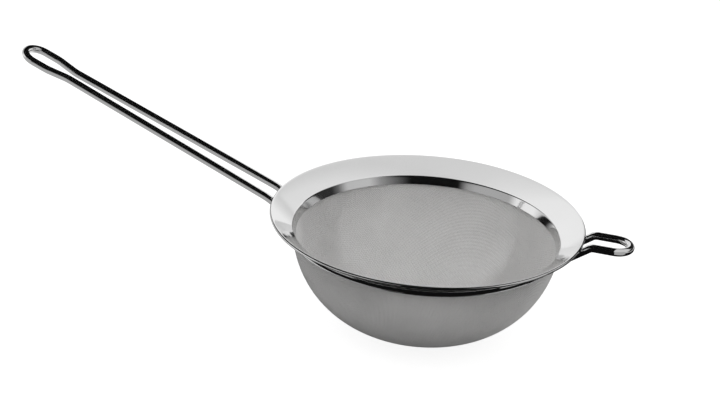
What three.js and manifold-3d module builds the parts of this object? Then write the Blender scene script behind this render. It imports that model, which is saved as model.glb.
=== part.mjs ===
// A kitchen sieve: a wire cloth bowl clamped in a wide polished rim, with a handle of two round rods that
// close in a hanging eye, and opposite it a bent rod that rests on the edge of a pot.
// Millimetres and degrees. +Z is up along the bowl's axis, the handle points to -X and the rest to +X.
// The origin is the middle of the opening, where the slope of the flange meets the collar.
import * as THREE from 'three';
import { mergeVertices } from 'three/addons/utils/BufferGeometryUtils.js';
import Module from 'manifold-3d';

// Rim: one sheet drawn into a leaning collar and a sloping flange, with its outer edge rolled into a hem
const openingRadius = 103.5;
const sheetThickness = 0.8;
const collarHeight = 6.5;
const collarLean = 24;
const collarBend = 2.4;
const flangeWidth = 18.1;
const flangeRise = 12.9;
const hemDiameter = 2.4;
const hemTurn = 250;

// Clamp band: the outer ring that holds the edge of the cloth against the collar
const bandThickness = 0.8;
const bandHeight = 3.8;
const bandRise = 3.8;
const bandLip = 1.2;
const bandLipTurn = 72;

// Wire cloth: a plain weave pressed into a bowl, with its edge folded into a flat hem
const clothDepth = 74.4;
const clothSquareness = 2.6;
const clothEdgeLean = 6;
const clothPitch = 11;
const clothWire = 1.3;
const weaveGap = 0.16;
const clothHemThickness = 1.8;
const clothHemHeight = 7.4;

// Handle: one rod bent back on itself
const rodDiameter = 6.2;
const handleSpread = 23.7;
const neckSpread = 14.8;
const eyeSpread = 23;
const gripReach = 2.76;
const gripLength = 225.8;
const gripSlope = 23;
const eyeLength = 41;
const eyeFlare = 17;

// Pot rest: a shorter rod bent the same way
const restSpread = 23.4;
const restCrestReach = 6.2;
const restReach = 34.3;
const restTipLift = 11.6;

// Bends of the rods
const gripBend = 40;
const neckBend = 25;
const crestBend = 7;

// Weld beads between the rods' ends and the underside of the flange
const weldLength = 4.4;
const weldWidth = 4.7;
const weldHeight = 3.4;
const weldRoom = 2.6;

// Clearance between pieces that lie against each other
const seatGap = 0.3;

// Facets
const ringSides = 48;
const rodSides = 10;
const wireSides = 3;
const arcSteps = 2;
const hemSteps = 7;
const bendSteps = 3;
const loopSteps = 6;
const weldSides = 10;

const steel = { color: 0xd8d7d3, metalness: 1 };
const polished = new THREE.MeshStandardMaterial({ ...steel, roughness: 0.12 });
const satin = new THREE.MeshStandardMaterial({ ...steel, roughness: 0.3 });
const wireFinish = new THREE.MeshStandardMaterial({ color: 0xa9a7a2, metalness: 1, roughness: 0.4 });
const weldFinish = new THREE.MeshStandardMaterial({ color: 0xb5afa6, metalness: 1, roughness: 0.5 });

const wasm = await Module();
wasm.setup();

const lean = THREE.MathUtils.degToRad(collarLean);
const slope = Math.atan2(flangeRise, flangeWidth);
const rimRadius = openingRadius + flangeWidth;
const rodRadius = rodDiameter / 2;
const hemRadius = hemDiameter / 2;

// What lies round the collar is placed by its offset from the collar's inner face.
const clothHemOffset = sheetThickness + seatGap;
const bandOffset = clothHemOffset + clothHemThickness + seatGap;
const bandOuterOffset = bandOffset + bandThickness;

// A point (radius, height) outside the collar's inner face by an offset, measured square to that face.
function onCollar(offset, height) {
  return new THREE.Vector2(openingRadius + offset / Math.cos(lean) + height * Math.tan(lean), height);
}

function polar(radius, turn) {
  return new THREE.Vector2(radius * Math.cos(turn), radius * Math.sin(turn));
}

// The points of an arc from one angle to another, clockwise where the second is the smaller.
function arcPoints(centre, radius, start, end, steps) {
  const arc = new THREE.EllipseCurve(centre.x, centre.y, radius, radius, start, end, end < start);
  return arc.getSpacedPoints(steps);
}

function toSolid(geometry) {
  const bare = geometry.clone();
  bare.deleteAttribute('normal');
  bare.deleteAttribute('uv');
  const merged = mergeVertices(bare, 1e-4);
  return new wasm.Manifold(new wasm.Mesh({
    numProp: 3,
    vertProperties: merged.attributes.position.array,
    triVerts: merged.index.array,
  }));
}

function toGeometry(solid) {
  const mesh = solid.getMesh();
  const geometry = new THREE.BufferGeometry();
  geometry.setAttribute('position', new THREE.BufferAttribute(mesh.vertProperties, 3));
  geometry.setIndex(new THREE.BufferAttribute(mesh.triVerts, 1));
  return geometry;
}

// Turns a closed outline of (radius, height) points, given anticlockwise, about the Z axis.
function revolve(outline) {
  const closed = [...outline, outline[0]];
  return new THREE.LatheGeometry(closed, ringSides).rotateX(Math.PI / 2);
}

// Thickens a line of (radius, height) points into the outline of a sheet that follows it.
function sheetOutline(line, thickness) {
  const left = [];
  const right = [];
  line.forEach((point, i) => {
    const before = line[Math.max(i - 1, 0)];
    const after = line[Math.min(i + 1, line.length - 1)];
    const along = after.clone().sub(before).normalize();
    const across = new THREE.Vector2(-along.y, along.x).multiplyScalar(thickness / 2);
    left.push(point.clone().add(across));
    right.push(point.clone().sub(across));
  });
  return [...right, ...left.reverse()];
}

// Centre of the rolled hem: its outside touches the rim's edge and the upper face of the flange.
const hemRun = (flangeWidth - hemRadius * (1 + Math.sin(slope))) / Math.cos(slope);
const hemCentre = new THREE.Vector2(
  rimRadius - hemRadius,
  hemRun * Math.sin(slope) - hemRadius * Math.cos(slope),
);

// Middle of the rim's sheet: up the collar, round the bend, up the flange and round the hem.
function rimLine() {
  const half = sheetThickness / 2;
  const collarNormal = Math.PI - lean;
  const flangeNormal = Math.PI / 2 + slope;
  const bisector = polar(1, collarNormal).add(polar(1, flangeNormal));
  const bendDepth = (half + collarBend) / (1 + Math.cos(collarNormal - flangeNormal));
  const bendCentre = new THREE.Vector2(openingRadius, 0).addScaledVector(bisector, -bendDepth);
  const hemEnd = flangeNormal - THREE.MathUtils.degToRad(hemTurn);
  return [
    onCollar(half, -collarHeight),
    ...arcPoints(bendCentre, collarBend, collarNormal, flangeNormal, arcSteps),
    ...arcPoints(hemCentre, hemRadius - half, flangeNormal, hemEnd, hemSteps),
  ];
}

const rimGeometry = revolve(sheetOutline(rimLine(), sheetThickness));

// Band: a wall that follows the collar, with a lip turned out at its lower edge.
function bandLine() {
  const middle = bandOffset + bandThickness / 2;
  const bottom = -collarHeight + bandRise;
  const lipStart = Math.PI - lean;
  const lipEnd = lipStart + THREE.MathUtils.degToRad(bandLipTurn);
  const lipCentre = onCollar(middle, bottom + bandLip).sub(polar(bandLip, lipStart));
  return [
    onCollar(middle, bottom + bandHeight),
    ...arcPoints(lipCentre, bandLip, lipStart, lipEnd, bendSteps),
  ];
}

const bandGeometry = revolve(sheetOutline(bandLine(), bandThickness));

// Profile of the bowl from its lowest point to the collar's edge, which it meets with its own small lean:
// a rounded square, steep at the wall and flat below. The cosine at the edge follows from that lean.
const clothEdge = onCollar(clothHemOffset + clothHemThickness / 2, -collarHeight);
const clothRadius = clothEdge.x * Math.cos(Math.PI / ringSides / 2);
const edgeLeaning = Math.tan(THREE.MathUtils.degToRad(clothEdgeLean));
const edgeShare = edgeLeaning * clothDepth * clothSquareness / (2 * clothRadius);
const edgeCosine = edgeShare / (1 - edgeShare);
const edgeAngle = Math.acos(edgeCosine);

class BowlProfile extends THREE.Curve {
  getPoint(t) {
    const angle = t * edgeAngle;
    const radius = clothRadius * (Math.sin(angle) / Math.sin(edgeAngle)) ** (2 / clothSquareness);
    const depth = clothDepth * (Math.cos(angle) - edgeCosine) / (1 - edgeCosine);
    return new THREE.Vector2(radius, -collarHeight - depth);
  }
}
const bowl = new BowlProfile();
bowl.arcLengthDivisions = 600;
const bowlLength = bowl.getLength();

// Takes a point (u, v) of the flat cloth to the bowl: its distance from the middle is kept along the profile,
// and lift moves it out through the wall. Past the profile's end it goes up along the collar into the hem.
function onBowl(u, v, lift) {
  const run = Math.hypot(u, v);
  const turn = Math.atan2(v, u);
  const share = Math.min(run / bowlLength, 1);
  const point = bowl.getPointAt(share);
  const along = bowl.getTangentAt(share);
  const fade = THREE.MathUtils.clamp((bowlLength - run) / clothPitch, 0, 1);
  const past = Math.max(run - bowlLength, 0);
  const radius = point.x + along.y * lift * fade + past * Math.sin(lean);
  const height = point.y - along.x * lift * fade + past * Math.cos(lean);
  return new THREE.Vector3(radius * Math.cos(turn), radius * Math.sin(turn), height);
}

// A path whose steps are counted by hand, so that a sweep puts its sections just where they are needed.
class SteppedPath extends THREE.Curve {
  constructor(pieces) {
    super();
    this.pieces = pieces;
    this.steps = pieces.reduce((sum, piece) => sum + piece.steps, 0);
  }
  getUtoTmapping(u) {
    return u;
  }
  getPoint(t) {
    let step = t * this.steps;
    let index = 0;
    while (index < this.pieces.length - 1 && step > this.pieces[index].steps) {
      step -= this.pieces[index].steps;
      index += 1;
    }
    const piece = this.pieces[index];
    return piece.curve.getPoint(step / piece.steps);
  }
}

// An arc of the given radius that rounds the corner between two directions.
class Bend extends THREE.Curve {
  constructor(corner, into, out, radius) {
    super();
    this.angle = into.angleTo(out);
    this.radius = radius;
    this.run = radius * Math.tan(this.angle / 2);
    this.start = corner.clone().addScaledVector(into, -this.run);
    this.end = corner.clone().addScaledVector(out, this.run);
    this.into = into;
    const inward = out.clone().sub(into).normalize();
    this.centre = corner.clone().addScaledVector(inward, radius / Math.cos(this.angle / 2));
    this.outward = this.start.clone().sub(this.centre).normalize();
  }
  getPoint(t) {
    const turned = this.angle * t;
    return this.centre.clone()
      .addScaledVector(this.outward, this.radius * Math.cos(turned))
      .addScaledVector(this.into, this.radius * Math.sin(turned));
  }
}

// Straight runs between the corners, each corner rounded by its own bend.
function bentPath(corners) {
  const pieces = [];
  let from = corners[0].at;
  const addRun = (to) => {
    if (from.distanceTo(to) > seatGap / 10) {
      pieces.push({ curve: new THREE.LineCurve3(from, to), steps: 1 });
    }
  };
  for (let i = 1; i < corners.length - 1; i += 1) {
    const into = corners[i].at.clone().sub(corners[i - 1].at).normalize();
    const out = corners[i + 1].at.clone().sub(corners[i].at).normalize();
    const bend = new Bend(corners[i].at, into, out, corners[i].bend);
    addRun(bend.start);
    pieces.push({ curve: bend, steps: corners[i].steps });
    from = bend.end;
  }
  addRun(corners[corners.length - 1].at);
  return new SteppedPath(pieces);
}

function straightPath(points) {
  const run = (point, i) => ({ curve: new THREE.LineCurve3(points[i], point), steps: 1 });
  const runs = points.slice(1).map(run);
  return new SteppedPath(runs);
}

// A round bar of the given radius along a path.
function sweep(path, radius, sides) {
  const section = new THREE.Shape();
  for (let i = 0; i < sides; i += 1) {
    const turn = (i + 0.5) * 2 * Math.PI / sides;
    const corner = new THREE.Vector2(Math.cos(turn), Math.sin(turn)).multiplyScalar(radius);
    if (i === 0) {
      section.moveTo(corner.x, corner.y);
    } else {
      section.lineTo(corner.x, corner.y);
    }
  }
  return new THREE.ExtrudeGeometry(section, { steps: path.steps, extrudePath: path, bevelEnabled: false });
}

// One wire of the cloth at a fixed place across it. It passes over and under the wires that cross it,
// and both its ends run into the hem.
function clothWirePath(row, lengthways) {
  const across = (row + 0.5) * clothPitch;
  const reach = Math.sqrt((bowlLength + clothHemThickness * 2) ** 2 - across ** 2);
  const crossings = Math.round((reach - clothPitch / 3) / clothPitch);
  const weaveLift = (clothWire + weaveGap) / 2;
  const place = (along, lift) => (lengthways ? onBowl(along, across, lift) : onBowl(across, along, lift));
  const points = [place(-reach, 0)];
  for (let column = -crossings; column < crossings; column += 1) {
    const over = (row + column) % 2 === 0 ? 1 : -1;
    points.push(place((column + 0.5) * clothPitch, (lengthways ? over : -over) * weaveLift));
  }
  points.push(place(reach, 0));
  return straightPath(points);
}

function clothGeometry() {
  const bottom = -collarHeight - clothHemThickness;
  const top = bottom + clothHemHeight;
  const hem = revolve([
    onCollar(clothHemOffset, bottom),
    onCollar(clothHemOffset + clothHemThickness, bottom),
    onCollar(clothHemOffset + clothHemThickness, top),
    onCollar(clothHemOffset, top),
  ]);
  const solids = [toSolid(hem)];
  const rows = Math.round((bowlLength - clothPitch / 2) / clothPitch);
  for (let row = -rows; row < rows; row += 1) {
    for (const lengthways of [true, false]) {
      solids.push(toSolid(sweep(clothWirePath(row, lengthways), clothWire / 2, wireSides)));
    }
  }
  return toGeometry(wasm.Manifold.union(solids));
}

// The rods start under the flange by the clamp band and follow the flange's slope out past the rim.
const rootRadius = onCollar(bandOuterOffset, 0).x + weldRoom;
const rodDrop = (sheetThickness + seatGap + rodRadius) / Math.cos(slope);

function heightAlongFlange(radius) {
  return (radius - openingRadius) * Math.tan(slope) - rodDrop;
}

const rootHeight = heightAlongFlange(rootRadius);

// Mirrors half a rod, from its root to the middle of its loop, into the whole one.
function loopedRod(half) {
  const other = half.map((corner) => ({ ...corner, at: corner.at.clone().setY(-corner.at.y) })).reverse();
  return bentPath([...half, ...other]);
}

function corner(radius, side, height, bend, steps = bendSteps) {
  return { at: new THREE.Vector3(radius, side, height), bend, steps };
}

function handlePath() {
  const rise = THREE.MathUtils.degToRad(gripSlope);
  const foot = rimRadius + gripReach;
  const alongGrip = (run, side, bend, steps) => corner(
    -(foot + run * Math.cos(rise)),
    side / 2,
    heightAlongFlange(foot) + run * Math.sin(rise),
    bend,
    steps,
  );
  return loopedRod([
    corner(-rootRadius, handleSpread / 2, rootHeight),
    alongGrip(0, handleSpread, gripBend),
    alongGrip(gripLength - eyeLength, neckSpread, neckBend),
    alongGrip(gripLength - eyeLength + eyeFlare, eyeSpread, neckBend),
    alongGrip(gripLength, eyeSpread, eyeSpread / 2, loopSteps),
  ]);
}

function restPath() {
  const crest = rimRadius + restCrestReach;
  return loopedRod([
    corner(rootRadius, restSpread / 2, rootHeight),
    corner(crest, restSpread / 2, heightAlongFlange(crest), crestBend),
    corner(rimRadius + restReach, restSpread / 2, restTipLift, restSpread / 2, loopSteps),
  ]);
}

// A rod with a notch pressed into it where the rolled hem passes.
function rodGeometry(path) {
  const hemRoom = arcPoints(hemCentre, hemRadius + seatGap, 0, 2 * Math.PI, hemSteps).slice(1);
  return toGeometry(toSolid(sweep(path, rodRadius, rodSides)).subtract(toSolid(revolve(hemRoom))));
}

// A bead of weld round the end of a rod, trimmed to lie against the rod, the flange and the band.
function weldGeometry(facing, side, path) {
  const bead = new THREE.SphereGeometry(1, weldSides, weldSides / 2);
  bead.scale(weldLength, weldWidth, weldHeight);
  bead.translate(facing * rootRadius, side, rootHeight + rodRadius / 2);
  const keepOff = [
    sweep(path, rodRadius + seatGap, rodSides),
    revolve(sheetOutline(rimLine(), sheetThickness + 2 * seatGap)),
    revolve([
      new THREE.Vector2(openingRadius - flangeWidth, -2 * collarHeight),
      onCollar(bandOuterOffset + seatGap, -2 * collarHeight),
      onCollar(bandOuterOffset + seatGap, flangeRise),
      new THREE.Vector2(openingRadius - flangeWidth, flangeRise),
    ]),
    revolve([
      new THREE.Vector2(openingRadius, 0),
      new THREE.Vector2(rimRadius, flangeRise),
      new THREE.Vector2(rimRadius, 2 * flangeRise),
      new THREE.Vector2(openingRadius, 2 * flangeRise),
    ]),
  ];
  return toGeometry(keepOff.reduce((rest, piece) => rest.subtract(toSolid(piece)), toSolid(bead)));
}

const sieve = new THREE.Group();

function add(name, geometry, material) {
  const mesh = new THREE.Mesh(geometry, material);
  mesh.name = name;
  sieve.add(mesh);
}

add('rim_flange', rimGeometry, polished);
add('clamp_band', bandGeometry, satin);
add('wire_cloth', clothGeometry(), wireFinish);

const rods = [
  { name: 'handle', node: 'handle_rod', path: handlePath(), facing: -1, spread: handleSpread },
  { name: 'rest', node: 'pot_rest', path: restPath(), facing: 1, spread: restSpread },
];
for (const { name, node, path, facing, spread } of rods) {
  add(node, rodGeometry(path), polished);
  add(`${name}_weld_left`, weldGeometry(facing, spread / 2, path), weldFinish);
  add(`${name}_weld_right`, weldGeometry(facing, -spread / 2, path), weldFinish);
}

export default sieve;
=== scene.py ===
"""A kitchen sieve in polished steel, laid out as a Blender add-on and run as a script.

Metres, +Z up along the bowl's axis, the handle towards -X and the pot rest towards +X. The origin is the
middle of the opening, where the slope of the flange meets the collar, as in the packed frame.
"""

import math

import bpy
import numpy as np
from bpy.props import FloatProperty, FloatVectorProperty, IntProperty, PointerProperty
from mathutils import Matrix, Vector


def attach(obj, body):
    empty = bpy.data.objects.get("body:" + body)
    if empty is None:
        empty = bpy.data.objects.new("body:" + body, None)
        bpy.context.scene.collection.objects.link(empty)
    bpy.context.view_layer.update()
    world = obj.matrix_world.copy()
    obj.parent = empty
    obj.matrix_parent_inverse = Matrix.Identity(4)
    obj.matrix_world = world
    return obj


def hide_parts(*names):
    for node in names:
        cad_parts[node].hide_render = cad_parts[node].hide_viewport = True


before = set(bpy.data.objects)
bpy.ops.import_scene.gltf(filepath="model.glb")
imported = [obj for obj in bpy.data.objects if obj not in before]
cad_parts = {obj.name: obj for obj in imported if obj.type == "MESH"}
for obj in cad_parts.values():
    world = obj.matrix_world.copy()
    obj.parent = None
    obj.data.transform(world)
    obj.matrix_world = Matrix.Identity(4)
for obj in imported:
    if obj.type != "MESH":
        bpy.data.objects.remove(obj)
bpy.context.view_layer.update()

bl_info = {
    "name": "Kitchen sieve",
    "version": (1, 0, 0),
    "blender": (4, 5, 0),
    "location": "View3D > Sidebar > Sieve",
    "description": "Builds a wire cloth sieve with a polished rim, a rod handle and a pot rest",
    "category": "Add Mesh",
}

BODY = "root"
SHARP = math.radians(35)  # an edge that turns by more than this stays sharp

ARC_STEP = 0.0005  # between points on the bends of a rod's side view and plan
LEAST_ARC_STEPS = 4
ROD_STEP = 0.001  # between a rod's sections

COLLAR_POINTS = 6
COLLAR_BEND_STEPS = 10
FLANGE_POINTS = 14
HEM_STEPS = 28
BAND_POINTS = 6
BAND_LIP_STEPS = 8
BAND_LIP_TURN = math.radians(72)

BOWL_POINTS = 1200
SHEDS = 4  # pieces that share out the wires of one direction
WIRE_SIDES = 4

BEAD_LONGITUDES = 40
BEAD_LATITUDES = 25
BEAD_POLE = math.radians(86)  # latitude at which the small flat caps close a bead
BEAD_RIPPLES = 9
BEAD_SWELL = 0.05


def length(label, description, default):
    """A size in metres."""
    return FloatProperty(name=label, description=description, default=default, precision=5, unit="LENGTH")


def angle(label, description, degrees):
    """An angle, given in degrees and kept in radians."""
    return FloatProperty(name=label, description=description, default=math.radians(degrees), subtype="ANGLE")


def count(label, description, default):
    """A number of steps."""
    return IntProperty(name=label, description=description, default=default, min=3)


def share(label, description, default):
    """A number from 0 to 1."""
    return FloatProperty(name=label, description=description, default=default, min=0, max=1, subtype="FACTOR")


def colour(label, description, default):
    """A linear colour."""
    return FloatVectorProperty(name=label, description=description, default=default, size=3, subtype="COLOR")


class RimSizes(bpy.types.PropertyGroup):
    """Sizes of the rim's sheet and of the band that clamps the cloth to it."""

    opening_radius: length("Opening radius", "Where the slope of the flange meets the collar", 0.1035)
    sheet: length("Sheet", "Thickness of the rim's sheet", 0.0008)
    collar_height: length("Collar height", "From the opening down to the collar's edge", 0.0065)
    collar_lean: angle("Collar lean", "How far the collar leans in below the opening", 24)
    collar_bend: length("Collar bend", "Radius of the bend from collar to flange", 0.0024)
    flange_width: length("Flange width", "From the opening out to the rim's edge", 0.0181)
    flange_rise: length("Flange rise", "How far the flange climbs over its width", 0.0129)
    hem_diameter: length("Hem diameter", "Thickness of the rolled edge", 0.0024)
    hem_turn: angle("Hem turn", "How far the edge is rolled round", 250)
    band_thickness: length("Band thickness", "Sheet of the clamp band", 0.0008)
    band_height: length("Band height", "Height of the clamp band", 0.0038)
    band_rise: length("Band rise", "How far the band ends above the collar's edge", 0.0038)
    band_lip: length("Band lip", "Radius of the band's turned out edge", 0.0012)
    seat_gap: length("Seat gap", "Clearance between pieces that lie together", 0.0003)
    sides: count("Sides", "Steps round the rim", 288)


class ClothSizes(bpy.types.PropertyGroup):
    """Sizes of the wire cloth and of the bowl that it is pressed into."""

    depth: length("Depth", "From the collar's edge to the bottom of the bowl", 0.0744)
    squareness: FloatProperty(name="Squareness", description="Power of the bowl's profile", default=2.6)
    edge_lean: angle("Edge lean", "How far the bowl leans in where it leaves the collar", 6)
    hem_thickness: length("Hem thickness", "Room for the cloth between collar and band", 0.0018)
    hem_height: length("Hem height", "How far the cloth runs up between collar and band", 0.0050)
    pitch: length("Pitch", "From wire to wire", 0.00120)
    wire: length("Wire", "Diameter of the wire", 0.00081)


class RodSizes(bpy.types.PropertyGroup):
    """Sizes of the handle, the pot rest and their welds."""

    diameter: length("Rod", "Diameter of the rods", 0.0062)
    handle_spread: length("Handle spread", "Between the handle's rods at the rim", 0.0237)
    neck_spread: length("Neck spread", "Between the rods before the hanging eye", 0.0148)
    eye_spread: length("Eye spread", "Between the rods in the hanging eye", 0.023)
    grip_reach: length("Grip reach", "From the rim's edge to the foot of the grip", 0.00276)
    grip_length: length("Grip length", "From the foot of the grip to its end", 0.2258)
    grip_slope: angle("Grip slope", "How steeply the grip climbs", 23.0)
    eye_length: length("Eye length", "From the neck to the end of the hanging eye", 0.041)
    eye_flare: length("Eye flare", "Run over which the eye opens", 0.017)
    rest_spread: length("Rest spread", "Between the pot rest's rods", 0.0234)
    crest_reach: length("Crest reach", "From the rim's edge to the rest's crest", 0.0062)
    rest_reach: length("Rest reach", "From the rim's edge to the rest's tip", 0.0343)
    tip_lift: length("Tip lift", "Height of the rest's tip", 0.0116)
    grip_bend: length("Grip bend", "Radius of the bend into the grip", 0.040)
    neck_bend: length("Neck bend", "Radius of the bends at the eye", 0.025)
    crest_bend: length("Crest bend", "Radius of the bend at the rest's crest", 0.007)
    chamfer: length("Chamfer", "Broken edge at the rods' ends", 0.0005)
    weld_length: length("Weld length", "Half the bead's size along the rod", 0.0044)
    weld_width: length("Weld width", "Half the bead's size across the rod", 0.0047)
    weld_height: length("Weld height", "Half the bead's size upwards", 0.0034)
    weld_room: length("Weld room", "From the band to the rods' ends", 0.0026)
    sides: count("Sides", "Steps round a rod", 28)


class SieveFinish(bpy.types.PropertyGroup):
    """Colours and gloss of the metals."""

    steel: colour("Steel", "Colour of the polished sheet and rods", (0.80, 0.80, 0.80))
    wire: colour("Wire", "Colour of the drawn wire", (0.72, 0.715, 0.71))
    weld: colour("Weld", "Colour of the bare weld", (0.62, 0.60, 0.57))
    straw: colour("Straw tint", "Colour that heat leaves near the weld", (0.62, 0.47, 0.28))
    rim_roughness: share("Rim roughness", "Polish of the rim", 0.07)
    rod_roughness: share("Rod roughness", "Polish of the rods", 0.06)
    wire_roughness: share("Wire roughness", "Finish of the wire", 0.45)


def unit(vectors):
    """Vectors scaled to length one along their last axis."""
    return vectors / np.linalg.norm(vectors, axis=-1, keepdims=True)


def directions(points):
    """Direction of a line at each point: the mean of the steps into it and out of it, as unit vectors."""
    steps = unit(np.diff(points, axis=0))
    return unit(np.concatenate([steps[:1], steps[1:] + steps[:-1], steps[-1:]]))


def lengths_along(points):
    """Distance along a line from its first point to each of its points."""
    steps = np.linalg.norm(np.diff(points, axis=0), axis=1)
    return np.concatenate([[0.0], np.cumsum(steps)])


def evenly(points, step):
    """A line's points put again at even distances of about the given step."""
    at = lengths_along(points)
    places = np.linspace(0, at[-1], int(math.ceil(at[-1] / step)) + 1)
    return np.stack([np.interp(places, at, axis) for axis in points.T], axis=1)


def arc(centre, radius, start, end, steps):
    """Points at even angles from start to end: centre + radius (cos a, sin a)."""
    turn = np.linspace(start, end, steps + 1)
    return np.stack([centre[0] + radius * np.cos(turn), centre[1] + radius * np.sin(turn)], axis=1)


def rounded_line(corners, bends):
    """Straight runs between corners, with an arc of the given radius in place of each inner corner.

    An arc that turns the line by an angle t starts radius * tan(t / 2) before the corner.
    """
    corners = np.array(corners)
    pieces = [corners[:1]]
    for before, corner, after, bend in zip(corners, corners[1:], corners[2:], bends):
        into = unit(corner - before)
        out = unit(after - corner)
        turn = math.atan2(into[0] * out[1] - into[1] * out[0], into @ out)
        start = corner - into * bend * math.tan(abs(turn) / 2)
        left = math.copysign(1, turn) * np.array([-into[1], into[0]])
        centre = start + left * bend
        first = math.atan2(*(-left)[::-1])
        steps = max(int(math.ceil(abs(turn) * bend / ARC_STEP)), LEAST_ARC_STEPS)
        pieces.append(arc(centre, bend, first, first + turn, steps))
    pieces.append(corners[-1:])
    return np.concatenate(pieces)


def sheet_outline(line, thickness):
    """Closed outline of a sheet that follows a line: the line moved half a thickness to either side."""
    along = directions(line)
    across = np.stack([-along[:, 1], along[:, 0]], axis=1) * thickness / 2
    return np.concatenate([line - across, (line + across)[::-1]])


def revolved(outline, sides):
    """A closed outline of (radius, height), turned about Z: (r cos a, r sin a, h) over the angle a."""
    turn = np.linspace(0, 2 * math.pi, sides, endpoint=False)[:, None]
    radius, height = outline.T
    return np.stack([
        radius * np.cos(turn),
        radius * np.sin(turn),
        np.broadcast_to(height, (sides, len(outline))),
    ], axis=-1)


def grid_faces(rows, columns, closed_columns):
    """Four-sided faces of a grid that closes on itself from its last row to its first, and so if asked do
    its columns. Returns the corners' vertices and the corners' places on the grid."""
    row, column = np.meshgrid(
        np.arange(rows),
        np.arange(columns if closed_columns else columns - 1),
        indexing="ij",
    )
    row = np.stack([row, row + 1, row + 1, row], axis=-1).reshape(-1, 4)
    column = np.stack([column, column, column + 1, column + 1], axis=-1).reshape(-1, 4)
    return row % rows * columns + column % columns, np.stack([row / rows, column / columns], axis=-1)


def new_piece(name, points, faces, places=None, caps=()):
    """A mesh object at the origin, made of points, four-sided faces and larger caps.

    places are the corners' UV coordinates. Edges sharper than SHARP stay sharp, all else is smooth.
    """
    mesh = bpy.data.meshes.new(name)
    mesh.from_pydata(points.reshape(-1, 3).tolist(), [], faces.tolist() + [cap.tolist() for cap in caps])
    if places is not None:
        corners = np.zeros((len(mesh.loops), 2), np.float32)
        corners[:places.size // 2] = places.reshape(-1, 2)
        mesh.uv_layers.new(name="UVMap").data.foreach_set("uv", corners.ravel())
    mesh.polygons.foreach_set("use_smooth", np.ones(len(mesh.polygons), bool))
    mesh.set_sharp_from_angle(angle=SHARP)
    mesh.update()
    piece = bpy.data.objects.new(name, mesh)
    bpy.context.scene.collection.objects.link(piece)
    return piece


def ring_piece(name, outline, sides):
    """A turned piece with a closed outline."""
    faces, places = grid_faces(sides, len(outline), closed_columns=True)
    return new_piece(name, revolved(outline, sides), faces, places)


def bar_piece(name, points):
    """A bar whose sections are the columns of a grid, closed by a flat cap at each end."""
    sides, stations = points.shape[:2]
    faces, places = grid_faces(sides, stations, closed_columns=False)
    around = np.arange(sides) * stations
    return new_piece(name, points, faces, places, caps=[around[::-1], around + stations - 1])


def finish_piece(piece, material, slot, *nodes):
    """Dresses a piece, hides the CAD nodes that it stands for and makes it ride on the one body."""
    piece.data.materials.append(material)
    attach(piece, BODY)
    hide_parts(*nodes)


def flange_slope(rim):
    """Angle of the flange above the level."""
    return math.atan2(rim.flange_rise, rim.flange_width)


def rim_radius(rim):
    """Outside of the rim."""
    return rim.opening_radius + rim.flange_width


def hem_centre(rim):
    """Middle of the rolled hem, whose outside touches the rim's edge and the flange's upper face."""
    slope = flange_slope(rim)
    radius = rim.hem_diameter / 2
    run = (rim.flange_width - radius * (1 + math.sin(slope))) / math.cos(slope)
    return np.array([rim_radius(rim) - radius, run * math.sin(slope) - radius * math.cos(slope)])


def rim_line(rim):
    """Middle of the rim's sheet: up the collar, round the bend, up the flange and round the hem."""
    half = rim.sheet / 2
    flange_normal = math.pi / 2 + flange_slope(rim)
    collar_normal = math.pi - rim.collar_lean
    hem_end = flange_normal - rim.hem_turn
    hem = arc(hem_centre(rim), rim.hem_diameter / 2 - half, flange_normal, hem_end, HEM_STEPS)
    outwards = -np.array([
        math.cos(collar_normal) + math.cos(flange_normal),
        math.sin(collar_normal) + math.sin(flange_normal),
    ])
    corner_share = outwards / (1 + math.cos(collar_normal - flange_normal))
    centre = np.array([rim.opening_radius, 0]) + corner_share * (half + rim.collar_bend)
    bend = arc(centre, rim.collar_bend, collar_normal, flange_normal, COLLAR_BEND_STEPS)
    collar = np.linspace(on_collar(rim, half, -rim.collar_height), bend[0], COLLAR_POINTS)
    flange = np.linspace(bend[-1], hem[0], FLANGE_POINTS)
    return np.concatenate([collar[:-1], bend, flange[1:-1], hem])


def on_collar(rim, offset, height):
    """A point (radius, height) outside the collar's inner face by an offset, square to that face."""
    lean = rim.collar_lean
    return np.array([rim.opening_radius + offset / math.cos(lean) + height * math.tan(lean), height])


def band_offset(rim, cloth):
    """From the collar's inner face to the inside of the clamp band, with room for the cloth between."""
    return rim.sheet + cloth.hem_thickness + 2 * rim.seat_gap


def band_outside(rim, cloth, height=0.0):
    """Radius of the clamp band's outer face, or of its slope carried on, at a height."""
    return on_collar(rim, band_offset(rim, cloth) + rim.band_thickness, height)[0]


def band_line(rim, cloth):
    """Middle of the band's sheet: down along the collar's lean, then a lip turned outwards."""
    middle = band_offset(rim, cloth) + rim.band_thickness / 2
    foot = -rim.collar_height + rim.band_rise + rim.band_lip
    top = on_collar(rim, middle, foot - rim.band_lip + rim.band_height)
    wall = np.linspace(top, on_collar(rim, middle, foot), BAND_POINTS)
    start = math.pi - rim.collar_lean
    centre = wall[-1] - rim.band_lip * np.array([math.cos(start), math.sin(start)])
    lip = arc(centre, rim.band_lip, start, start + BAND_LIP_TURN, BAND_LIP_STEPS)
    return np.concatenate([wall[:-1], lip])


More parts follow.
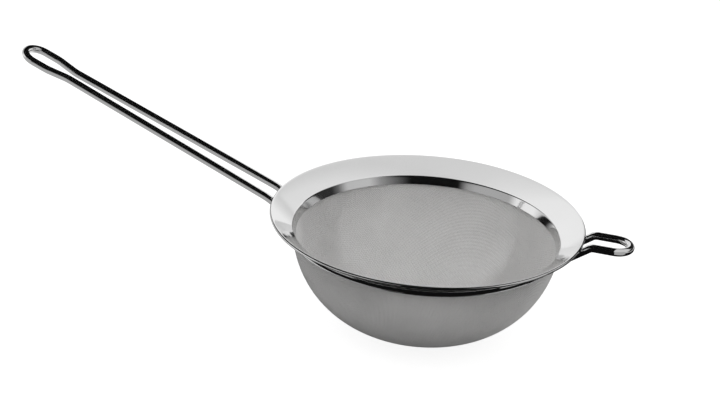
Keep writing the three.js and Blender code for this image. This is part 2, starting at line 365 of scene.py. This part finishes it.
class Bowl:
    """The bowl's wall, on which a flat cloth is laid so that each point keeps its distance from the middle.

    With a from 0 to e, the profile is r = R (sin a / sin e) ** (2 / n), z = edge - depth (cos a - cos e) /
    (1 - cos e), then up along the collar. It has the edge's lean at e where cos e / (1 + cos e) is
    tan(lean) depth n / 2 R.
    """

    def __init__(self, rim, cloth):
        middle = rim.sheet + rim.seat_gap + cloth.hem_thickness / 2
        edge = on_collar(rim, middle, -rim.collar_height)
        edge_share = math.tan(cloth.edge_lean) * cloth.depth * cloth.squareness / (2 * edge[0])
        edge_cosine = edge_share / (1 - edge_share)
        turn = np.linspace(0, math.acos(edge_cosine), BOWL_POINTS)
        radius = edge[0] * (np.sin(turn) / math.sqrt(1 - edge_cosine ** 2)) ** (2 / cloth.squareness)
        height = edge[1] - cloth.depth * (np.cos(turn) - edge_cosine) / (1 - edge_cosine)
        top = on_collar(rim, middle, edge[1] + cloth.hem_height)
        self.profile = np.concatenate([np.stack([radius, height], axis=1), [top]])
        self.along = lengths_along(self.profile)
        self.direction = directions(self.profile)

    def reach(self):
        """Distance along the profile from the middle of the bowl to the edge of the cloth."""
        return self.along[-1]

    def on_wall(self, u, v, lift):
        """Points (u, v) of the flat cloth on the bowl, moved out through the wall by lift, and the wall's
        outward normals there."""
        run = np.hypot(u, v)
        turn = np.arctan2(v, u)
        radius, height = (np.interp(run, self.along, axis) for axis in self.profile.T)
        inwards, upwards = (np.interp(run, self.along, axis) for axis in self.direction.T)
        out = np.stack([upwards * np.cos(turn), upwards * np.sin(turn), -inwards], axis=-1)
        wall = np.stack([radius * np.cos(turn), radius * np.sin(turn), height], axis=-1)
        return wall + out * lift[..., None], out


def weave(bowl, cloth, lengthways, shed):
    """Every fourth wire of one direction: points (wires, crossings, sides), and the crossings on the cloth.

    Wires lie a pitch apart. At its crossings a wire is lifted by half its diameter, out and in by turns, and
    wires that run the other way are lifted the opposite way. A section is a square about the wire's middle.
    """
    rows = int(bowl.reach() / cloth.pitch)
    row = np.arange(shed - rows, rows, SHEDS)
    column = np.arange(-rows, rows)
    across, along = np.meshgrid((row + 0.5) * cloth.pitch, (column + 0.5) * cloth.pitch, indexing="ij")
    over = np.where((row[:, None] + column) % 2 == 0, 1.0, -1.0) * (1 if lengthways else -1)
    u, v = (along, across) if lengthways else (across, along)
    middle, out = bowl.on_wall(u, v, over * cloth.wire / 2)
    tangent = unit(np.gradient(middle, axis=1))
    side = unit(np.cross(tangent, out))
    normal = np.cross(side, tangent)
    turn = np.arange(WIRE_SIDES) * 2 * math.pi / WIRE_SIDES
    section = np.cos(turn)[:, None] * normal[..., None, :] + np.sin(turn)[:, None] * side[..., None, :]
    points = middle[..., None, :] + section * cloth.wire / 2
    return points, np.hypot(u, v) < bowl.reach()


def wires_piece(name, points, on_cloth):
    """Joins the sections of each wire where two neighbours lie on the cloth, and closes its two ends."""
    wires, crossings, sides = points.shape[:3]
    vertex = np.arange(wires * crossings * sides).reshape(wires, crossings, sides)
    turned = np.roll(vertex, -1, axis=2)
    runs = on_cloth[:, :-1] & on_cloth[:, 1:]
    walls = np.stack([vertex[:, :-1], turned[:, :-1], turned[:, 1:], vertex[:, 1:]], axis=-1)[runs]
    used = runs.any(axis=1)
    first = runs.argmax(axis=1)[used]
    last = crossings - 1 - runs[:, ::-1].argmax(axis=1)[used]
    caps = np.concatenate([vertex[used, first][:, ::-1], vertex[used, last]])
    faces = walls.reshape(-1, 4)
    kept, numbered = np.unique(np.concatenate([faces.ravel(), caps.ravel()]), return_inverse=True)
    faces = numbered[:faces.size].reshape(-1, 4)
    caps = numbered[faces.size:].reshape(-1, sides)
    return new_piece(name, points.reshape(-1, 3)[kept], faces, caps=caps)


def along_flange(rim, rods, radius):
    """A point (radius, height) of a rod's middle as it follows the flange's underside, or runs on past it."""
    slope = flange_slope(rim)
    drop = (rim.sheet + rim.seat_gap + rods.diameter / 2) / math.cos(slope)
    return radius, (radius - rim.opening_radius) * math.tan(slope) - drop


def rod_root(rim, cloth, rods):
    """The rods' inner ends, under the flange by the clamp band: (radius, height)."""
    return along_flange(rim, rods, band_outside(rim, cloth) + rods.weld_room)


def clear_of_hem(points, rim):
    """Presses a notch into a rod where the rolled hem passes: points in its room move out to its edge."""
    radius = np.hypot(points[..., 0], points[..., 1])
    away = np.stack([radius, points[..., 2]], axis=-1) - hem_centre(rim)
    distance = np.linalg.norm(away, axis=-1)
    room = rim.hem_diameter / 2 + rim.seat_gap
    away *= (np.maximum(distance, room) / distance)[..., None]
    out, height = np.moveaxis(away + hem_centre(rim), -1, 0)
    return np.stack([points[..., 0] * out / radius, points[..., 1] * out / radius, height], axis=-1)


def bent_rod(side_view, plan, facing, rods):
    """A round rod: its plan (distance along, sideways) is laid on a ribbon that is bent to the side view.

    A plan point (q, y) goes to (x(q), y, z(q)), where x and z follow the side view at the distance q. The
    section is a circle in the plane of the ribbon's normal and of that normal crossed with the rod.
    """
    at = lengths_along(side_view)
    slope = directions(side_view)
    q, y = evenly(plan, ROD_STEP).T
    x, z = (np.interp(q, at, axis) for axis in side_view.T)
    forward, upward = (np.interp(q, at, axis) for axis in slope.T)
    middle = np.stack([facing * x, y, z], axis=1)
    along = directions(middle)
    normal = unit(np.stack([-facing * upward, np.zeros_like(q), forward], axis=1))
    side = unit(np.cross(along, normal))
    radius = np.full(len(q), rods.diameter / 2)
    radius[[0, -1]] -= rods.chamfer
    turn = np.linspace(0, 2 * math.pi, rods.sides, endpoint=False)[:, None, None]
    return middle + radius[:, None] * (np.cos(turn) * normal + np.sin(turn) * side)


def looped(half):
    """Mirrors the corners of half a plan into a whole loop."""
    return half + [(q, -y) for q, y in reversed(half)]


def handle_points(rim, cloth, rods):
    """The handle's rod: out along the flange's underside, up the grip and round the eye."""
    root = rod_root(rim, cloth, rods)
    foot = along_flange(rim, rods, rim_radius(rim) + rods.grip_reach)
    end = (
        foot[0] + rods.grip_length * math.cos(rods.grip_slope),
        foot[1] + rods.grip_length * math.sin(rods.grip_slope),
    )
    side_view = rounded_line([root, foot, end], [rods.grip_bend])
    reach = lengths_along(side_view)[-1]
    neck = reach - rods.eye_length
    half = [
        (0.0, rods.handle_spread / 2),
        (reach - rods.grip_length, rods.handle_spread / 2),
        (neck, rods.neck_spread / 2),
        (neck + rods.eye_flare, rods.eye_spread / 2),
        (reach, rods.eye_spread / 2),
    ]
    bends = [rods.grip_bend, rods.neck_bend, rods.neck_bend, rods.eye_spread / 2]
    plan = rounded_line(looped(half), bends + bends[::-1])
    return clear_of_hem(bent_rod(side_view, plan, -1, rods), rim)


def rest_points(rim, cloth, rods):
    """The pot rest's rod: out along the flange's underside, over a low crest and round its tip."""
    root = rod_root(rim, cloth, rods)
    crest = along_flange(rim, rods, rim_radius(rim) + rods.crest_reach)
    tip = (rim_radius(rim) + rods.rest_reach, rods.tip_lift)
    side_view = rounded_line([root, crest, tip], [rods.crest_bend])
    reach = lengths_along(side_view)[-1]
    half = [(0.0, rods.rest_spread / 2), (reach, rods.rest_spread / 2)]
    plan = rounded_line(looped(half), [rods.rest_spread / 2] * 2)
    return clear_of_hem(bent_rod(side_view, plan, 1, rods), rim)


def weld_points(rim, cloth, rods, facing, side):
    """A weld bead: an ellipsoid with the ripples of a run of weld, pressed flat on the flange and the band.

    Over longitude a and latitude b, a point is (s cos b cos a, s cos b sin a, sin b) times the half sizes,
    laid round the rod's end, with s = 1 + swell cos(ripples a) cos b.
    """
    root, height = rod_root(rim, cloth, rods)
    middle = height + rods.diameter / 4
    gap = rim.seat_gap / 3
    longitude = np.linspace(0, 2 * math.pi, BEAD_LONGITUDES, endpoint=False)[:, None]
    latitude = np.linspace(-BEAD_POLE, BEAD_POLE, BEAD_LATITUDES)
    swell = 1 + BEAD_SWELL * np.cos(BEAD_RIPPLES * longitude) * np.cos(latitude)
    x = facing * root + rods.weld_length * swell * np.cos(latitude) * np.cos(longitude)
    y = side + rods.weld_width * swell * np.cos(latitude) * np.sin(longitude)
    z = middle + rods.weld_height * np.sin(latitude) * np.ones_like(longitude)
    radius = np.hypot(x, y)
    pushed = np.maximum(radius, band_outside(rim, cloth, z) + gap) / radius
    slope = flange_slope(rim)
    under = (radius * pushed - rim.opening_radius) * math.tan(slope) - rim.sheet / math.cos(slope)
    return np.stack([x * pushed, y * pushed, np.minimum(z, under - gap)], axis=-1)


class Value:
    """A shader socket on which arithmetic adds Math nodes."""

    def __init__(self, shader, socket):
        self.shader = shader
        self.socket = socket

    def math(self, operation, *others):
        """This value and others through one Math node."""
        inputs = dict(enumerate((self, *others)))
        return self.shader.node("ShaderNodeMath", {"operation": operation}, inputs)

    def __add__(self, other):
        return self.math("ADD", other)

    def __mul__(self, other):
        return self.math("MULTIPLY", other)

    def __pow__(self, other):
        return self.math("POWER", other)

    __radd__ = __add__
    __rmul__ = __mul__


class Shader:
    """The nodes of a material or of the world."""

    def __init__(self, owner):
        owner.use_nodes = True
        self.tree = owner.node_tree
        self.tree.nodes.clear()

    def node(self, kind, settings=None, inputs=None, output=0):
        """Adds a node: its settings first, then the values or links of its sockets. Returns one output."""
        made = self.tree.nodes.new(kind)
        for key, value in (settings or {}).items():
            if key == "stops":
                self.set_stops(made.color_ramp, value)
            else:
                setattr(made, key, value)
        for key, value in (inputs or {}).items():
            if isinstance(value, Value):
                self.tree.links.new(value.socket, made.inputs[key])
            else:
                made.inputs[key].default_value = value
        return Value(self, made.outputs[output]) if made.outputs else None

    def set_stops(self, ramp, stops):
        """Gives a ramp its stops, as pairs of place and brightness."""
        while len(ramp.elements) < len(stops):
            ramp.elements.new(1)
        for element, (place, shade) in zip(ramp.elements, stops):
            element.position = place
            element.color = (shade, shade, shade, 1)

    def place(self, source="Object"):
        """A texture coordinate."""
        return self.node("ShaderNodeTexCoord", output=source)

    def axis(self, place, name):
        """One axis of a place."""
        return self.node("ShaderNodeSeparateXYZ", inputs={0: place}, output=name)

    def vector(self, x, y, z):
        """Three values as one vector."""
        return self.node("ShaderNodeCombineXYZ", inputs={0: x, 1: y, 2: z})

    def noise(self, place, scale, detail):
        """Noise about 0.5 at a place, with the given number of lumps to a unit."""
        return self.node("ShaderNodeTexNoise", inputs={"Vector": place, "Scale": scale, "Detail": detail})

    def between(self, value, limits):
        """A value brought to 0 at the first limit and 1 at the second."""
        inputs = {"Value": value, "From Min": limits[0], "From Max": limits[1]}
        return self.node("ShaderNodeMapRange", inputs=inputs)

    def graded(self, value, stops):
        """A brightness that follows stops over a value from 0 to 1."""
        return self.node("ShaderNodeValToRGB", {"stops": stops}, {0: value})

    def ray(self, kind):
        """1 for rays of a kind, or else 0."""
        return self.node("ShaderNodeLightPath", output=f"Is {kind} Ray")

    def mix(self, factor, first, second):
        """A colour between two colours."""
        return self.node("ShaderNodeMix", {"data_type": "RGBA"}, {0: factor, 6: first, 7: second}, output=2)

    def toned(self, factor, shade, tones):
        """A colour that varies from its darkest share to its lightest."""
        return self.mix(factor, *(opaque(shade, tone) for tone in tones))

    def metal(self, base, roughness, height, depth):
        """A bare metal surface, with a bump of the given depth in metres."""
        bump = self.node("ShaderNodeBump", inputs={"Strength": 1.0, "Distance": depth, "Height": height})
        self.surface({"Base Color": base, "Roughness": roughness, "Metallic": 1.0, "Normal": bump})

    def surface(self, inputs):
        """Ends the material with one plain surface shader."""
        self.output(self.node("ShaderNodeBsdfPrincipled", inputs=inputs))

    def output(self, surface):
        """Ends the material with a surface."""
        self.node("ShaderNodeOutputMaterial", inputs={"Surface": surface})


def opaque(shade, level=1.0):
    """A colour made lighter or darker by a level, with full alpha."""
    return (*(channel * level for channel in shade), 1.0)


RIM_LINES = 2600  # polishing lines to a metre
RIM_LINES_TURN = 5  # how fast they change round the axis, to a radian
RIM_LINES_DEPTH = 0.000002
RIM_SMUDGES = 34.0  # smudges to a metre
RIM_TONES = (0.97, 1.03)  # darkest and lightest share of the steel's colour
RIM_GLOSS = (0.55, 0.5, 0.5)  # shares of the roughness: the bare sheet, the lines and the smudges

ROD_STREAKS = 6  # radius of the circle that stands for a rod's girth in the noise
ROD_STREAKS_RUN = 30  # and the length that stands for the rod's own
ROD_STREAKS_DEPTH = 0.000003
ROD_SMUDGES = 40.0
ROD_TONES = (0.96, 1.02)
ROD_GLOSS = (0.5, 0.6, 0.4)  # shares of the roughness: the bare rod, the streaks and the smudges

WIRE_METALLIC = 0.4
WIRE_PATCHES = 45.0  # patches to a metre
WIRE_SCUFFS = 700.0  # scuffs to a metre
WIRE_TONES = (0.92, 1.08)
WIRE_GLOSS = (0.75, 0.5)  # shares of the roughness: the bare wire and the scuffs

WELD_GRAINS = 900.0  # grains to a metre
WELD_GRAINS_DEPTH = 0.00012
WELD_GLOSS = (0.28, 0.3)  # roughness of the bare weld, and what the grains add
WELD_HEAT = 260.0
WELD_TINT = (0.45, 0.65)  # noise at which the straw tint begins and is full


def turned_polish(name, finish):
    """Sheet polished while it turned: fine lines round the axis, faint smudges and a little uneven gloss."""
    material = bpy.data.materials.new(name)
    shader = Shader(material)
    place = shader.place()
    x, y, z = (shader.axis(place, letter) for letter in "XYZ")
    radius = (x * x + y * y) ** 0.5
    turn = y.math("ARCTAN2", x)
    rings = shader.vector(radius * RIM_LINES, z * RIM_LINES, turn * RIM_LINES_TURN)
    lines = shader.noise(rings, 1.0, detail=3)
    smudges = shader.noise(place, RIM_SMUDGES, detail=4)
    bare, lined, smudged = RIM_GLOSS
    gloss = finish.rim_roughness * (bare + lines * lined + smudges * smudged)
    shader.metal(shader.toned(smudges, finish.steel, RIM_TONES), gloss, lines, RIM_LINES_DEPTH)
    return material


def drawn_polish(name, finish):
    """Rod polished along its length: the lines follow the rod by its UV map, and close round it."""
    material = bpy.data.materials.new(name)
    shader = Shader(material)
    around, along = (shader.axis(shader.place("UV"), letter) for letter in "XY")
    turn = around * (2 * math.pi)
    width = (turn.math(wave) * ROD_STREAKS for wave in ("COSINE", "SINE"))
    streaks = shader.noise(shader.vector(*width, along * ROD_STREAKS_RUN), 1.0, detail=4)
    smudges = shader.noise(shader.place(), ROD_SMUDGES, detail=4)
    bare, streaked, smudged = ROD_GLOSS
    gloss = finish.rod_roughness * (bare + streaks * streaked + smudges * smudged)
    shader.metal(shader.toned(smudges, finish.steel, ROD_TONES), gloss, streaks, ROD_STREAKS_DEPTH)
    return material


def woven_wire(name, finish):
    """Drawn wire with a dull sheen: lighter and darker patches over the cloth, scuffs from wire to wire."""
    material = bpy.data.materials.new(name)
    shader = Shader(material)
    patches = shader.noise(shader.place(), WIRE_PATCHES, detail=3)
    scuffs = shader.noise(shader.place(), WIRE_SCUFFS, detail=2)
    bare, scuffed = WIRE_GLOSS
    shader.surface({
        "Base Color": shader.toned(patches, finish.wire, WIRE_TONES),
        "Roughness": finish.wire_roughness * (bare + scuffs * scuffed),
        "Metallic": WIRE_METALLIC,
    })
    return material


def weld_metal(name, finish):
    """Rippled weld, brushed clean on top, with a straw tint that the heat left in patches."""
    material = bpy.data.materials.new(name)
    shader = Shader(material)
    grains = shader.noise(shader.place(), WELD_GRAINS, detail=4)
    heat = shader.noise(shader.place(), WELD_HEAT, detail=2)
    base = shader.mix(shader.between(heat, WELD_TINT), opaque(finish.weld), opaque(finish.straw))
    bare, grained = WELD_GLOSS
    shader.metal(base, bare + grains * grained, grains, WELD_GRAINS_DEPTH)
    return material


class SieveOperator:
    """What the operators of the sieve share."""

    bl_options = {"REGISTER", "UNDO"}

    def settings(self, context):
        """The scene's sizes and finish."""
        scene = context.scene
        return scene.sieve_rim, scene.sieve_cloth, scene.sieve_rods, scene.sieve_finish


class SIEVE_OT_rim(SieveOperator, bpy.types.Operator):
    """Turns the rim: collar, sloping flange and rolled hem in one sheet"""

    bl_idname = "sieve.rim"
    bl_label = "Rim"

    def execute(self, context):
        rim, _, _, finish = self.settings(context)
        outline = sheet_outline(rim_line(rim), rim.sheet)
        piece = ring_piece("rim_sheet", outline, rim.sides)
        material = turned_polish("polished_rim", finish)
        finish_piece(piece, material, "polished_rim", "rim_flange")
        return {"FINISHED"}


class SIEVE_OT_band(SieveOperator, bpy.types.Operator):
    """Turns the band that clamps the cloth round the collar"""

    bl_idname = "sieve.band"
    bl_label = "Clamp band"

    def execute(self, context):
        rim, cloth, _, finish = self.settings(context)
        outline = sheet_outline(band_line(rim, cloth), rim.band_thickness)
        piece = ring_piece("band_sheet", outline, rim.sides)
        material = turned_polish("polished_band", finish)
        finish_piece(piece, material, "polished_band", "clamp_band")
        return {"FINISHED"}


class SIEVE_OT_cloth(SieveOperator, bpy.types.Operator):
    """Weaves the wire cloth on the bowl in eight pieces, each with every fourth wire of one direction"""

    bl_idname = "sieve.cloth"
    bl_label = "Wire cloth"

    def execute(self, context):
        rim, cloth, _, finish = self.settings(context)
        bowl = Bowl(rim, cloth)
        material = woven_wire("woven_wire", finish)
        for way, lengthways in (("warp", True), ("weft", False)):
            for shed in range(SHEDS):
                points, on_cloth = weave(bowl, cloth, lengthways, shed)
                piece = wires_piece(f"cloth_{way}_{shed + 1}", points, on_cloth)
                finish_piece(piece, material, "steel_wire", "wire_cloth")
        return {"FINISHED"}


class SIEVE_OT_rods(SieveOperator, bpy.types.Operator):
    """Bends the handle and the pot rest from round rod"""

    bl_idname = "sieve.rods"
    bl_label = "Handle and pot rest"

    def execute(self, context):
        rim, cloth, rods, finish = self.settings(context)
        material = drawn_polish("polished_rod", finish)
        handle = bar_piece("handle_bar", handle_points(rim, cloth, rods))
        finish_piece(handle, material, "polished_rod", "handle_rod")
        rest = bar_piece("rest_bar", rest_points(rim, cloth, rods))
        finish_piece(rest, material, "polished_rod", "pot_rest")
        return {"FINISHED"}


class SIEVE_OT_welds(SieveOperator, bpy.types.Operator):
    """Lays a weld bead at each end of the rods"""

    bl_idname = "sieve.welds"
    bl_label = "Weld beads"

    def execute(self, context):
        rim, cloth, rods, finish = self.settings(context)
        material = weld_metal("weld_metal", finish)
        for name, facing, spread in (("handle", -1, rods.handle_spread), ("rest", 1, rods.rest_spread)):
            for side, place in (("left", spread / 2), ("right", -spread / 2)):
                points = weld_points(rim, cloth, rods, facing, place)
                piece = bar_piece(f"{name}_bead_{side}", points)
                finish_piece(piece, material, "weld_bead", f"{name}_weld_{side}")
        return {"FINISHED"}


CAMERA_DISTANCE = 1.2
CAMERA_AZIMUTH = math.radians(10.526)
CAMERA_ELEVATION = math.radians(24.967)
CAMERA_ROLL = math.radians(3.703)
CAMERA_AIM = (-0.05304, 0.01720)  # right of the origin and above it, square to the view
CAMERA_LENS = 77.53
SENSOR_WIDTH = 36

WHITE = (1.0, 1.0, 1.0)
FLOOR_REACH = 8.0
FLOOR_SHADE = 0.25  # colour of the floor, on which the shadow falls
FLOOR_GLOW = 0.86  # brightness to the camera
FLOOR_BEFORE = 0.12  # brightness in reflections, in front of the sieve
FLOOR_BEHIND = 0.55  # and behind it
FLOOR_EDGE = (0.02, 0.2)  # where along Y the one passes into the other

# Brightness of the world by height: 0 is straight down, 0.5 is level and 1 is straight up.
SKY_LIGHT = [(0.60, 0.40), (0.82, 1.0)]  # on dull surfaces, times SKY_LEVEL
SKY_LEVEL = 1.45
FRONT_LIGHT = [(0.0, 0.5), (0.50, 0.40), (0.56, 0.22), (0.64, 0.003)]  # in reflections, towards the front
BACK_LIGHT = [(0.0, 0.03), (0.60, 0.02), (0.70, 0.003)]  # and towards the back
FRONT_EDGE = (-0.15, 0.05)  # where along Y the one passes into the other
WALL_HEIGHT = [(0.69, 1.0), (0.73, 0.0)]  # how high the pale walls reach
SIDE_HEIGHT = [(0.69, 0.0), (0.75, 0.6)]  # the high light on the right
SIDE_EDGE = (0.55, 0.75)  # where along X that light begins and is full

# Brightness of the pale walls by azimuth in degrees, from the front towards the right.
WALLS = [
    (-158, 0.02), (-147, 0.60), (-112, 0.55), (-102, 0.65), (-92, 1.0), (-72, 0.95), (-64, 0.44),
    (-30, 0.46), (-23, 0.40), (-15, 0.0), (28, 0.0), (40, 0.15), (47, 0.22), (56, 0.32), (66, 0.59),
    (88, 0.57), (97, 0.15), (104, 0.03),
]

SOFTBOX_DISTANCE = 1.2
SOFTBOX_HEIGHT = 0.4
SOFTBOX_FACE = 0.6  # height of a lamp's face
SOFTBOXES = (  # azimuth in degrees, width of the face and its brightness
    ("right_softbox", 78, 0.73, 0.48),
    ("right_fill", 49, 0.45, 0.24),
    ("left_softbox", -41, 0.98, 0.39),
    ("left_window", -86, 0.85, 1.0),
)

# Cards that show only in reflections: the plan of a level one, and the line that an upright one stands on.
CARD_RUN = (-0.16, 0.15)  # where along X the stops of a card begin and end
DARK_CARD = [(0.0, 0.005), (1.0, 0.005)]
FLAG_LIFT = 0.001  # of a flag from the floor, and of one flag from the other
FLOOR_FLAG = ((-0.15, -0.9), (0.9, -0.9), (0.9, 0.12), (-0.15, -0.02))
REST_FLAG = ((0.07, 0.0), (0.9, 0.0), (0.9, 0.5), (0.07, 0.5))
FRONT_FLAG = ((0.0, -0.25), (0.35, -0.25))
FRONT_FLAG_TOP = 0.11
TENT_LIGHT = [(0.07, 1.0), (0.32, 0.98), (0.42, 0.80), (0.47, 0.735), (0.52, 0.86), (0.92, 1.0)]
TENT_HEIGHT = 0.15
TENT_ROOF = ((-0.06, 0.05), (0.06, 0.05), (0.15, 0.35), (-0.32, 0.35))
TENT_WALL = ((-0.32, 0.35), (0.15, 0.35))
TIP_HEIGHT = 0.06
TIP_ROOF = ((0.150, -0.10), (0.26, -0.10), (0.26, 0.03), (0.150, 0.03))
TIP_ROOF_LIGHT = [(0.0, 0.70), (1.0, 0.70)]
TIP_WALL = ((0.156, -0.10), (0.225, -0.035))
TIP_WALL_LIGHT = [(0.0, 0.45), (1.0, 0.45)]


def add_camera(scene):
    """A camera on a sphere round the origin, aimed past it by a step right and up, then rolled."""
    flat = math.cos(CAMERA_ELEVATION)
    back = Vector((
        math.sin(CAMERA_AZIMUTH) * flat,
        -math.cos(CAMERA_AZIMUTH) * flat,
        math.sin(CAMERA_ELEVATION),
    ))
    level = Vector((math.cos(CAMERA_AZIMUTH), math.sin(CAMERA_AZIMUTH), 0))
    place = back * CAMERA_DISTANCE
    aim = level * CAMERA_AIM[0] + back.cross(level) * CAMERA_AIM[1]
    forward = (aim - place).normalized()
    right = forward.cross(Vector((0, 0, 1))).normalized()
    turned = Matrix.Rotation(-CAMERA_ROLL, 3, forward)
    right = turned @ right
    up = right.cross(forward)
    data = bpy.data.cameras.new("camera")
    data.lens = CAMERA_LENS
    data.sensor_width = SENSOR_WIDTH
    data.sensor_fit = "HORIZONTAL"
    camera = bpy.data.objects.new("camera", data)
    camera.matrix_world = Matrix((
        (right.x, up.x, -forward.x, place.x),
        (right.y, up.y, -forward.y, place.y),
        (right.z, up.z, -forward.z, place.z),
        (0, 0, 0, 1),
    ))
    scene.collection.objects.link(camera)
    scene.camera = camera


def add_softbox(scene, name, azimuth, width, radiance):
    """A rectangular lamp that faces the origin with the given brightness: power = radiance * pi * area."""
    turn = math.radians(azimuth)
    data = bpy.data.lights.new(name, "AREA")
    data.shape = "RECTANGLE"
    data.size = width
    data.size_y = SOFTBOX_FACE
    data.energy = radiance * math.pi * width * SOFTBOX_FACE
    lamp = bpy.data.objects.new(name, data)
    place = Vector((SOFTBOX_DISTANCE * math.sin(turn), -SOFTBOX_DISTANCE * math.cos(turn), SOFTBOX_HEIGHT))
    lamp.location = place
    lamp.rotation_euler = (-place).to_track_quat("-Z", "Y").to_euler()
    lamp.visible_camera = False
    lamp.visible_glossy = False
    scene.collection.objects.link(lamp)


def add_world(scene):
    """White to the camera, light from above to dull surfaces, and in polished ones a dark studio with pale
    walls: the brightest of what lies in front or behind, of the walls and of the high light on the right."""
    world = bpy.data.worlds.new("studio")
    scene.world = world
    shader = Shader(world)
    place = shader.place("Generated")
    across, depth, height = (shader.axis(place, letter) for letter in "XYZ")
    up = height * 0.5 + 0.5
    around = across.math("ARCTAN2", depth * -1) * (0.5 / math.pi) + 0.5
    before = shader.graded(up, FRONT_LIGHT)
    behind = shader.graded(up, BACK_LIGHT)
    walls = shader.graded(around, [(degrees / 360 + 0.5, level) for degrees, level in WALLS])
    walls = walls * shader.graded(up, WALL_HEIGHT)
    high = shader.graded(up, SIDE_HEIGHT) * shader.between(across, SIDE_EDGE)
    studio = shader.mix(shader.between(depth, FRONT_EDGE), before, behind)
    studio = studio.math("MAXIMUM", walls).math("MAXIMUM", high)
    sky = shader.graded(up, SKY_LIGHT) * SKY_LEVEL
    light = shader.mix(shader.ray("Glossy"), sky, studio)
    shade = shader.mix(shader.ray("Camera"), light, opaque(WHITE))
    surface = shader.node("ShaderNodeBackground", inputs={"Color": shade, "Strength": 1.0})
    shader.node("ShaderNodeOutputWorld", inputs={"Surface": surface})


def add_stage_piece(name, corners, material):
    """A four-cornered flat piece of the studio."""
    piece = new_piece(name, np.array(corners), np.array([[0, 1, 2, 3]]))
    piece.data.materials.append(material)
    return piece


def level_corners(plan, height):
    """The corners of a level piece, from its plan."""
    return [(x, y, height) for x, y in plan]


def upright_corners(line, foot, top):
    """The corners of an upright piece that stands on a straight line of the plan."""
    return level_corners(line, foot) + level_corners(line[::-1], top)


def add_floor(height):
    """A wide level floor: white by itself to the camera, grey in reflections, and with a faint shadow."""
    material = bpy.data.materials.new("pale_floor")
    shader = Shader(material)
    side = shader.between(shader.axis(shader.place(), "Y"), FLOOR_EDGE)
    mirrored = shader.mix(side, opaque(WHITE, FLOOR_BEFORE), opaque(WHITE, FLOOR_BEHIND))
    glow = shader.mix(shader.ray("Glossy"), opaque(WHITE, 0.0), mirrored)
    shader.surface({
        "Base Color": opaque(WHITE, FLOOR_SHADE),
        "Roughness": 1.0,
        "Specular IOR Level": 0.0,
        "Emission Color": shader.mix(shader.ray("Camera"), glow, opaque(WHITE, FLOOR_GLOW)),
        "Emission Strength": 1.0,
    })
    plan = [(x * FLOOR_REACH, y * FLOOR_REACH) for x, y in ((-1, -1), (1, -1), (1, 1), (-1, 1))]
    add_stage_piece("floor", level_corners(plan, height), material)


def add_card(name, corners, stops):
    """A card of the studio that shows only in reflections, with its brightness given by stops along X."""
    material = bpy.data.materials.new(name)
    shader = Shader(material)
    shade = shader.graded(shader.between(shader.axis(shader.place(), "X"), CARD_RUN), stops)
    shader.output(shader.node("ShaderNodeEmission", inputs={"Color": shade, "Strength": 1.0}))
    card = add_stage_piece(name, corners, material)
    card.visible_camera = False
    card.visible_diffuse = False
    card.visible_shadow = False


class SIEVE_OT_stage(SieveOperator, bpy.types.Operator):
    """Sets up the camera, the floor and the studio light"""

    bl_idname = "sieve.stage"
    bl_label = "Stage"

    def execute(self, context):
        scene = context.scene
        scene.view_settings.view_transform = "Standard"
        rim, cloth, _, _ = self.settings(context)
        ground = -rim.collar_height - cloth.depth - 2 * cloth.wire
        add_camera(scene)
        add_world(scene)
        add_floor(ground)
        for name, azimuth, width, radiance in SOFTBOXES:
            add_softbox(scene, name, azimuth, width, radiance)
        add_card("floor_flag", level_corners(FLOOR_FLAG, ground + FLAG_LIFT), DARK_CARD)
        add_card("rest_flag", level_corners(REST_FLAG, ground + 2 * FLAG_LIFT), DARK_CARD)
        add_card("front_flag", upright_corners(FRONT_FLAG, ground, FRONT_FLAG_TOP), DARK_CARD)
        add_card("tent_roof", level_corners(TENT_ROOF, TENT_HEIGHT), TENT_LIGHT)
        add_card("tent_wall", upright_corners(TENT_WALL, ground, TENT_HEIGHT), TENT_LIGHT)
        add_card("tip_wall", upright_corners(TIP_WALL, ground, TIP_HEIGHT), TIP_WALL_LIGHT)
        add_card("tip_roof", level_corners(TIP_ROOF, TIP_HEIGHT), TIP_ROOF_LIGHT)
        return {"FINISHED"}


OPERATORS = (SIEVE_OT_rim, SIEVE_OT_band, SIEVE_OT_cloth, SIEVE_OT_rods, SIEVE_OT_welds, SIEVE_OT_stage)
SETTINGS = {
    "sieve_rim": RimSizes,
    "sieve_cloth": ClothSizes,
    "sieve_rods": RodSizes,
    "sieve_finish": SieveFinish,
}


class SIEVE_PT_build(bpy.types.Panel):
    """Sidebar panel with the sieve's pieces and settings"""

    bl_idname = "SIEVE_PT_build"
    bl_label = "Sieve"
    bl_space_type = "VIEW_3D"
    bl_region_type = "UI"
    bl_category = "Sieve"

    def draw(self, context):
        for operator in OPERATORS:
            self.layout.operator(operator.bl_idname)
        for key, group in SETTINGS.items():
            box = self.layout.box()
            box.label(text=group.__doc__.rstrip("."))
            for name in group.__annotations__:
                box.prop(getattr(context.scene, key), name)


def register():
    """Registers the settings, the operators and the panel."""
    for group in SETTINGS.values():
        bpy.utils.register_class(group)
    for key, group in SETTINGS.items():
        setattr(bpy.types.Scene, key, PointerProperty(type=group))
    for operator in OPERATORS:
        bpy.utils.register_class(operator)
    bpy.utils.register_class(SIEVE_PT_build)


def unregister():
    """Takes everything back that register added."""
    bpy.utils.unregister_class(SIEVE_PT_build)
    for operator in reversed(OPERATORS):
        bpy.utils.unregister_class(operator)
    for key in SETTINGS:
        delattr(bpy.types.Scene, key)
    for group in reversed(SETTINGS.values()):
        bpy.utils.unregister_class(group)


def main():
    """Builds the sieve and its stage."""
    register()
    bpy.ops.sieve.rim()
    bpy.ops.sieve.band()
    bpy.ops.sieve.cloth()
    bpy.ops.sieve.rods()
    bpy.ops.sieve.welds()
    bpy.ops.sieve.stage()


if __name__ == "__main__":
    main()
